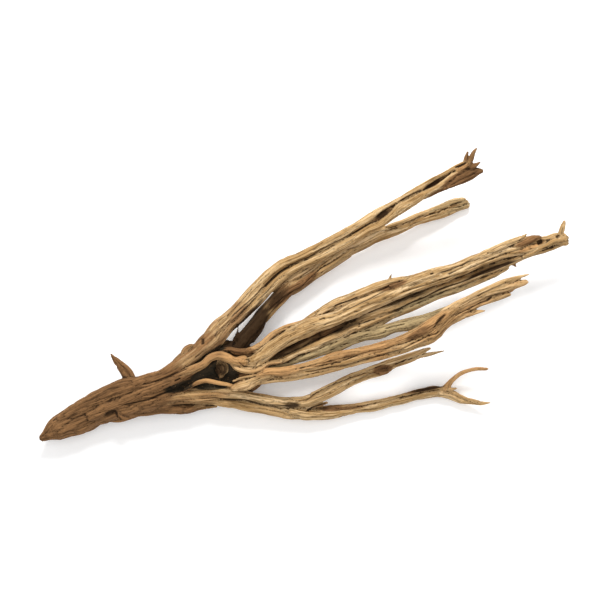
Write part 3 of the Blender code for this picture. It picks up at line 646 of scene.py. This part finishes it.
def raiseGrain(wood):
    # ripples, fine ridges and hairline splits that follow each strand
    tree, nodes, geometry = geometryTree("raiseGrain")
    grain = nodes.add("GeometryNodeInputNamedAttribute", {"Name": "grain"}, data_type="FLOAT_VECTOR")
    grain = grain.outputs[0]

    def ridges(noise, size):
        return nodes.math("MULTIPLY", nodes.math("SUBTRACT", noise, 0.5), 2 * size * mm)

    ripple = ridges(nodes.noise(nodes.scaled(grain, (0.018, 0.16, 0.16)), detail=2.0), skinShape["ripple"])
    fibre = nodes.noise(nodes.scaled(grain, (0.022, 0.42, 0.42)), detail=3.0, roughness=0.6)
    fibre = ridges(fibre, skinShape["fibre"])
    split = nodes.math("MULTIPLY", nodes.splits(grain), skinShape["split"] * mm)
    height = nodes.math("SUBTRACT", nodes.math("ADD", ripple, fibre), split)
    normal = nodes.add("GeometryNodeInputNormal").outputs[0]
    offset = nodes.add("ShaderNodeVectorMath", {0: normal}, operation="SCALE")
    tree.links.new(height, offset.inputs["Scale"])
    moved = nodes.add("GeometryNodeSetPosition", {"Geometry": geometry, "Offset": offset.outputs[0]})
    nodes.add("NodeGroupOutput", {0: moved.outputs[0]})
    applyModifier(wood, "NODES", node_group=tree)


def coordinates(mesh, kind="co", layer=None):
    values = np.zeros(len(mesh.vertices) * 3, np.float32)
    (layer or mesh.vertices).foreach_get(kind, values)
    return values.reshape(-1, 3).astype(float)


def distanceToLine(spots, line):
    # distance in plan to an open line, and how far along it the nearest point lies, 0 to 1
    line = np.array(line, float)
    lengths = np.linalg.norm(np.diff(line, axis=0), axis=1)
    starts = np.concatenate([[0.0], np.cumsum(lengths)])
    best = np.full(len(spots), 1e9)
    along = np.zeros(len(spots))
    for a, b, start, length in zip(line, line[1:], starts, lengths):
        t = np.clip((spots - a) @ (b - a) / length**2, 0, 1)
        away = np.linalg.norm(spots - a - t[:, None] * (b - a), axis=1)
        near = away < best
        best[near] = away[near]
        along[near] = (start + t[near] * length) / starts[-1]
    return best, along


crackShape = {
    "margin": 6.0,            # points further than this from a crack's box aren't looked at
    "below": 14.0,            # a crack marks nothing further below its height
    "facing": 0.1,            # how far up a point must face to be cracked at all
    "steep": 0.4,             # and how much more before the crack is whole
    "endShare": 0.12,         # the part of its length in which each end closes
    "endDepth": 0.25,
    "widening": 1.3,
    "fullDepth": 3.0,         # cracks from this depth on are as dark as they get
}


def openCracks(wood):
    shape = crackShape
    mesh = wood.data
    spots = coordinates(mesh) / mm
    normals = coordinates(mesh, "vector", mesh.vertex_normals)
    marks = readVectors(mesh, "mark")
    depthAt = np.zeros(len(spots))
    for width, depth, level, line in surfaceCracks.values():
        low, high = np.min(line, axis=0) - shape["margin"], np.max(line, axis=0) + shape["margin"]
        near = np.all((spots[:, :2] > low) & (spots[:, :2] < high), axis=1)
        near &= (normals[:, 2] > shape["facing"]) & (spots[:, 2] > level - shape["below"])
        at = np.flatnonzero(near)
        if len(at) == 0:
            continue
        away, along = distanceToLine(spots[at, :2], line)
        ends = np.clip(np.minimum(along, 1 - along) / shape["endShare"], shape["endDepth"], 1)
        # on a steep flank a crack would be drawn out downwards, so it dies away there
        ends = ends * np.clip((normals[at, 2] - shape["facing"]) / shape["steep"], 0, 1)
        width = shape["widening"] * width * (0.5 + 0.5 * ends)
        depthAt[at] = np.maximum(depthAt[at], depth * ends * np.exp(-(away / width) ** 2))
        # how dark the material paints the crack: painted shade in the crack
        width = np.maximum(1.1 * width, 1.2)
        dark = min(1, depth / shape["fullDepth"]) * ends * np.exp(-(away / width) ** 2)
        marks[at, 1] = np.maximum(marks[at, 1], dark)
    # a crack runs in halfway between straight down and square to the surface
    down = 0.5 * normals + 0.5 * np.array([0.0, 0.0, 1.0])
    spots -= down * depthAt[:, None]
    storeVectors(mesh, "mark", marks)
    mesh.vertices.foreach_set("co", (spots * mm).astype(np.float32).ravel())
    mesh.update()
    # the skin is thinned inside this group, so the cracks keep all their points
    wood.vertex_groups.new(name="plain").add(np.flatnonzero(marks[:, 1] < 0.2).tolist(), 1.0, "REPLACE")


def keepLargest(wood):
    # drop sealed hollows and loose crumbs
    onlySelect(wood)
    bpy.ops.object.mode_set(mode="EDIT")
    bpy.ops.mesh.separate(type="LOOSE")
    bpy.ops.object.mode_set(mode="OBJECT")
    pieces = sorted(bpy.context.selected_objects, key=lambda piece: len(piece.data.vertices))
    for piece in pieces[:-1]:
        bpy.data.objects.remove(piece)
    return pieces[-1]


def edgesOf(mesh):
    edges = np.zeros(len(mesh.edges) * 2, np.int32)
    mesh.edges.foreach_get("vertices", edges)
    return edges.reshape(-1, 2)


def smoothedCopy(spots, edges, rounds):
    count = np.bincount(edges.ravel(), minlength=len(spots))[:, None]
    for _ in range(rounds):
        total = np.zeros_like(spots)
        for axis in range(3):
            total[:, axis] = (np.bincount(edges[:, 0], spots[edges[:, 1], axis], len(spots))
                              + np.bincount(edges[:, 1], spots[edges[:, 0], axis], len(spots)))
        spots = 0.3 * spots + 0.7 * total / count
    return spots


def markHollows(wood):
    # how deep each point lies below the smoothed-out surface round it, fine and broad; the material paints
    # shade into the hollows by it
    mesh = wood.data
    spots = coordinates(mesh) / mm
    normals = coordinates(mesh, "vector", mesh.vertex_normals)
    edges = edgesOf(mesh)
    fine = smoothedCopy(spots, edges, 5)
    broad = smoothedCopy(fine, edges, 45)
    fineDepth = np.einsum("ij,ij->i", fine - spots, normals)
    broadDepth = np.einsum("ij,ij->i", broad - spots, normals)
    storeVectors(mesh, "hollow", np.stack([fineDepth, broadDepth, 0 * fineDepth], -1))


patchShape = {
    "blending": 16,           # rounds of smoothing between one strand's tone and the next
    "barkEnd": -118.0,        # the bark begins to fade here, and is gone this much further back
    "barkFade": 62.0,
    "edge": (1.35, 0.7),      # where a patch ends, and how soft its rim is, against its size
    "below": 18.0,            # a patch marks nothing further below its height
    "above": (7.0, 4.0),      # dark patches end this far above theirs, and fade out over this
    "darkPatchFloor": (12.0, 8.0),
}


def placePatches(wood):
    shape = patchShape
    mesh = wood.data
    spots = coordinates(mesh) / mm
    tone = readVectors(mesh, "tone")
    edges = edgesOf(mesh)
    tone = smoothedCopy(tone, edges, shape["blending"])
    hollowShadeAndStain = np.zeros(len(spots))
    umberShadeAndStain = np.zeros(len(spots))
    # the bark stays on the trunk and fades out where the strands part
    fade = np.clip((shape["barkEnd"] - spots[:, 0]) / shape["barkFade"], 0, 1)
    tone[:, 2] = np.maximum(tone[:, 2], fade)
    layers = {"orange": tone[:, 0], "grey": tone[:, 1], "bark": tone[:, 2], "dark": hollowShadeAndStain, "umberShadeAndStain": umberShadeAndStain}
    reach, rim = shape["edge"]
    above, aboveFade = shape["above"]
    floor, floorFade = shape["darkPatchFloor"]
    for kind, x, y, z, long, wide, turn, strength in woodPatches.values():
        c, s = math.cos(math.radians(turn)), math.sin(math.radians(turn))
        dx, dy = spots[:, 0] - x, spots[:, 1] - y
        away = np.hypot((dx * c + dy * s) / long, (dy * c - dx * s) / wide)
        mask = strength * np.clip((reach - away) / rim, 0, 1)
        # the umber patches paint shade in valleys, under strands and in clefts, with a few umber stains;
        # the dark patches paint shade deep in hollows
        if kind in ("dark", "umberShadeAndStain"):
            mask *= np.clip((z + above - spots[:, 2]) / aboveFade, 0, 1)
        else:
            mask *= spots[:, 2] > z - shape["below"]
        # the dark patches paint near-black shade deep in the hollows and slots, partly a stain
        if kind == "dark":
            mask *= np.clip((spots[:, 2] - floor) / floorFade, 0, 1)      # it stays inside the hollow
        if kind == "bare":
            tone[:, 2] *= 1 - mask
        else:
            np.maximum(layers[kind], mask, out=layers[kind])
    storeVectors(mesh, "tone", tone)
    hollow = readVectors(mesh, "hollow")
    hollow[:, 2] = hollowShadeAndStain
    storeVectors(mesh, "hollow", hollow)
    mark = readVectors(mesh, "mark")
    mark[:, 2] = umberShadeAndStain
    storeVectors(mesh, "mark", mark)


woodColours = {
    "deepTan": (0.215, 0.113, 0.036),
    "tan": (0.485, 0.320, 0.150),
    "paleTan": (0.70, 0.525, 0.315),
    "deepOrange": (0.20, 0.085, 0.030),
    "orange": (0.46, 0.264, 0.110),
    "deepGrey": (0.155, 0.108, 0.052),
    "grey": (0.40, 0.300, 0.155),
    "deepBrown": (0.070, 0.033, 0.013),
    "brown": (0.235, 0.122, 0.050),
    # painted shade, with some dirt, in hollows, grooves and cracks, and dark grain lines
    "creviceShadeAndDirt": (0.032, 0.016, 0.006),
    # painted shade in valleys, under strands and in clefts, and a few stains
    "umberShadeAndStain": (0.026, 0.012, 0.004),
    # near-black painted shade deep in hollows and slots, partly a stain
    "hollowShadeAndStain": (0.011, 0.010, 0.006),
}


# the grain patterns, from broad to fine: scale along and across the grain, detail, roughness
grainPatterns = {
    "strand": (0.006, 0.05, 1.0, 0.5),
    "streak": (0.010, 0.20, 4.0, 0.55),
    "line": (0.014, 0.50, 2.0, 0.6),
    "fibre": (0.035, 1.1, 4.0, 0.65),
    "hair": (0.06, 2.6, 2.0, 0.6),
}

woodFinish = {
    "specular": 0.12,
    "bumpStrength": 0.75,
    "bumpDistance": 0.0014,
}


def weatheredWood():
    material = bpy.data.materials.new("weatheredWood")
    material.use_nodes = True
    tree = material.node_tree
    nodes = Nodes(tree)
    finish = tree.nodes["Principled BSDF"]

    def attribute(name):
        return nodes.add("ShaderNodeAttribute", attribute_name=name).outputs["Vector"]

    def parts(name):
        return nodes.add("ShaderNodeSeparateXYZ", {0: attribute(name)}).outputs

    def colour(name):
        return (*woodColours[name], 1.0)

    def blend(factor, a, b, mode="MIX"):
        node = nodes.add("ShaderNodeMix", data_type="RGBA", blend_type=mode)
        for socket, value in ((node.inputs[0], factor), (node.inputs[6], a), (node.inputs[7], b)):
            if isinstance(value, bpy.types.NodeSocket):
                tree.links.new(value, socket)
            else:
                socket.default_value = value
        return node.outputs[2]

    grain = attribute("grain")
    orangeTone, greyTone, brownTone = parts("tone")
    fineHollow, broadHollow, shadeAndStainMask = parts("hollow")
    groove, crack, umberShadeAndStain = parts("mark")
    place = nodes.add("ShaderNodeTexCoord").outputs["Object"]

    strand, streak, line, fibre, hair = (
        nodes.noise(nodes.scaled(grain, (along, across, across)), detail=detail, roughness=roughness)
        for along, across, detail, roughness in grainPatterns.values())
    mottle = nodes.noise(place, scale=22.0, detail=3.0)

    # tan wood, in lighter and darker streaks
    level = nodes.math("ADD", nodes.math("MULTIPLY", streak, 0.32), nodes.math("MULTIPLY", fibre, 0.2))
    level = nodes.math("ADD", level, nodes.math("MULTIPLY_ADD", strand, 0.12, 0.06))
    level = nodes.math("ADD", level, nodes.math("MULTIPLY", line, 0.26))
    light = nodes.remap(level, 0.35, 0.61)
    bare = blend(light, colour("deepTan"), colour("tan"))
    pale = nodes.remap(nodes.math("ADD", level, nodes.math("MULTIPLY", hair, 0.15)), 0.56, 0.72)
    bare = blend(pale, bare, colour("paleTan"))
    paints = (
        (orangeTone, blend(light, colour("deepOrange"), colour("orange"))),
        (greyTone, blend(light, colour("deepGrey"), colour("grey"))),
        (brownTone, blend(light, colour("deepBrown"), colour("brown"))),
    )
    # each other tone comes in along the streaks
    uneven = nodes.math("SUBTRACT", nodes.math("ADD", streak, nodes.math("MULTIPLY", mottle, 0.6)), 0.8)
    for weight, paint in paints:
        edge = nodes.math("MULTIPLY_ADD", uneven, 1.3, weight)
        share = nodes.math("MULTIPLY", nodes.remap(edge, 0.2, 0.75), nodes.remap(weight, 0.0, 0.25))
        bare = blend(share, bare, paint)

    # raised ridges are paler, as wear and as painted highlight; hollows, grooves and cracks get painted
    # shade with some dirt, and splits hold dirt
    ridge = nodes.remap(fineHollow, -0.05, -0.5, 0.0, 0.5)
    worn = blend(ridge, bare, blend(1.0, bare, (1.3, 1.27, 1.22, 1.0), "MULTIPLY"))
    shadeAndDirt = nodes.math("MULTIPLY", nodes.splits(grain, 1.4), 0.45)
    # what is darkened, where it starts, where it is full, and how much it then darkens: hollows, grooves
    # and cracks take painted shade with some dirt, the fibre and line streaks are darker grain
    darkenedBy = (
        (broadHollow, 0.8, 4.0, 0.75), (fineHollow, 0.08, 0.7, 0.9), (groove, 0.15, 1.1, 0.7),
        (crack, 0.25, 1.0, 0.95), (fibre, 0.38, 0.26, 0.5), (line, 0.36, 0.28, 0.65))
    for value, start, full, most in darkenedBy:
        shadeAndDirt = nodes.math("MAXIMUM", shadeAndDirt, nodes.remap(value, start, full, 0.0, most))
    paint = blend(shadeAndDirt, worn, colour("creviceShadeAndDirt"))

    # umber painted shade and the near-black painted shade in the hollows, both partly stains, come in along
    # the streaks, and a few pale specks show in the near-black
    def spreadAlongStreaks(amount, full, most):
        spread = nodes.remap(nodes.math("MULTIPLY_ADD", uneven, 0.9, amount), 0.1, full, 0.0, most)
        return nodes.math("MULTIPLY", spread, nodes.remap(amount, 0.0, 0.2))

    paint = blend(spreadAlongStreaks(umberShadeAndStain, 0.7, 0.97), paint, colour("umberShadeAndStain"))
    specks = nodes.remap(nodes.noise(place, scale=420.0, detail=1.0), 0.64, 0.72, 1.0, 0.35)
    paint = blend(nodes.math("MULTIPLY", spreadAlongStreaks(shadeAndStainMask, 0.6, 0.92), specks), paint, colour("hollowShadeAndStain"))
    tree.links.new(paint, finish.inputs["Base Color"])

    tree.links.new(nodes.remap(fibre, 0.3, 0.7, 0.92, 0.74), finish.inputs["Roughness"])
    finish.inputs["Specular IOR Level"].default_value = woodFinish["specular"]
    height = nodes.math("ADD", nodes.math("MULTIPLY", fibre, 0.45), nodes.math("MULTIPLY", hair, 0.2))
    height = nodes.math("ADD", height, nodes.math("MULTIPLY", line, 0.6))
    bump = nodes.add("ShaderNodeBump", {
        "Height": height, "Strength": woodFinish["bumpStrength"], "Distance": woodFinish["bumpDistance"]})
    tree.links.new(bump.outputs[0], finish.inputs["Normal"])
    return material


def settle(wood):
    # nothing dips below the surface that the wood lies on: its lowest points are worn flatter
    spots = coordinates(wood.data)
    worn = skinShape["wornHeight"] * mm
    low = spots[:, 2] < worn
    spots[low, 2] = worn - skinShape["wornShare"] * (worn - spots[low, 2])
    spots[:, 2] -= spots[:, 2].min()
    wood.data.vertices.foreach_set("co", spots.astype(np.float32).ravel())
    wood.data.update()


def growWood():
    rods = allRods()
    print("rods:", len(rods.data.vertices), "points")
    wood = bpy.data.objects.new("driftwoodBranch", rods.data.copy())
    bpy.context.collection.objects.link(wood)
    applyModifier(wood, "REMESH", mode="VOXEL", voxel_size=skinShape["voxel"] * mm)
    wood = keepLargest(wood)
    print("skin:", len(wood.data.polygons), "faces")
    carryGrain(wood, rods)
    openCracks(wood)
    raiseGrain(wood)
    print("grain raised")
    applyModifier(wood, "DECIMATE", ratio=skinShape["triangles"] / (2.0 * len(wood.data.polygons)),
                  vertex_group="plain")
    wood.vertex_groups.clear()
    settle(wood)
    markHollows(wood)
    placePatches(wood)
    bpy.data.objects.remove(rods)
    onlySelect(wood)
    bpy.ops.object.shade_smooth()
    wood.name = "driftwoodBranch"
    wood.data.materials.clear()
    wood.data.materials.append(weatheredWood())
    print("wood:", len(wood.data.polygons), "faces")
    return wood


studio = {
    "tilt": math.radians(21.0),      # the wood's long axis is seen turned by this much
    "aim": (0.0135, 0.0554),         # where the camera looks, in plan
    "height": 3.75,
    "lens": 178.1,
    "floorSize": 8.0,
    "floorDrop": 0.0004,
    "floorGlow": 0.12,               # lifts the shadows a little
    "sky": 0.70,
    # each lamp's place, width and power
    "lamps": {
        "key": ((0.75, 1.75, 1.9), 0.8, 63.0),
        "top": ((-0.3, 0.2, 2.6), 1.8, 17.0),
    },
}


def addCamera():
    bpy.ops.object.camera_add(location=(*studio["aim"], studio["height"]), rotation=(0, 0, -studio["tilt"]))
    camera = bpy.context.object
    camera.data.lens = studio["lens"]
    camera.data.sensor_width = 36.0
    camera.data.clip_end = 20.0
    bpy.context.scene.camera = camera


def addFloor():
    bpy.ops.mesh.primitive_plane_add(size=studio["floorSize"], location=(0, 0, -studio["floorDrop"]))
    floor = bpy.context.object
    floor.name = "floor"
    material = bpy.data.materials.new("paleFloor")
    material.use_nodes = True
    finish = material.node_tree.nodes["Principled BSDF"]
    finish.inputs["Base Color"].default_value = (0.93, 0.93, 0.93, 1.0)
    finish.inputs["Roughness"].default_value = 0.9
    finish.inputs["Emission Color"].default_value = (1.0, 1.0, 1.0, 1.0)
    finish.inputs["Emission Strength"].default_value = studio["floorGlow"]
    floor.data.materials.append(material)


def addLight(name, place, size, power):
    # a round lamp that points at the origin
    bpy.ops.object.light_add(type="AREA", location=place)
    lamp = bpy.context.object
    lamp.name = name
    lamp.data.shape = "DISK"
    lamp.data.size = size
    lamp.data.energy = power
    x, y, z = place
    lamp.rotation_euler = (math.atan2(math.hypot(x, y), z), 0.0, math.atan2(-y, -x) - math.pi / 2)


def lightStudio():
    world = bpy.data.worlds.new("studio")
    world.use_nodes = True
    background = world.node_tree.nodes["Background"]
    background.inputs["Color"].default_value = (1.0, 1.0, 1.0, 1.0)
    background.inputs["Strength"].default_value = studio["sky"]
    bpy.context.scene.world = world
    for name, (place, size, power) in studio["lamps"].items():
        addLight(name, place, size, power)
    bpy.context.scene.view_settings.view_transform = "Standard"


addCamera()
addFloor()
lightStudio()
print("studio set")
wood = growWood()
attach(wood, "root")
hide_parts("driftwood")
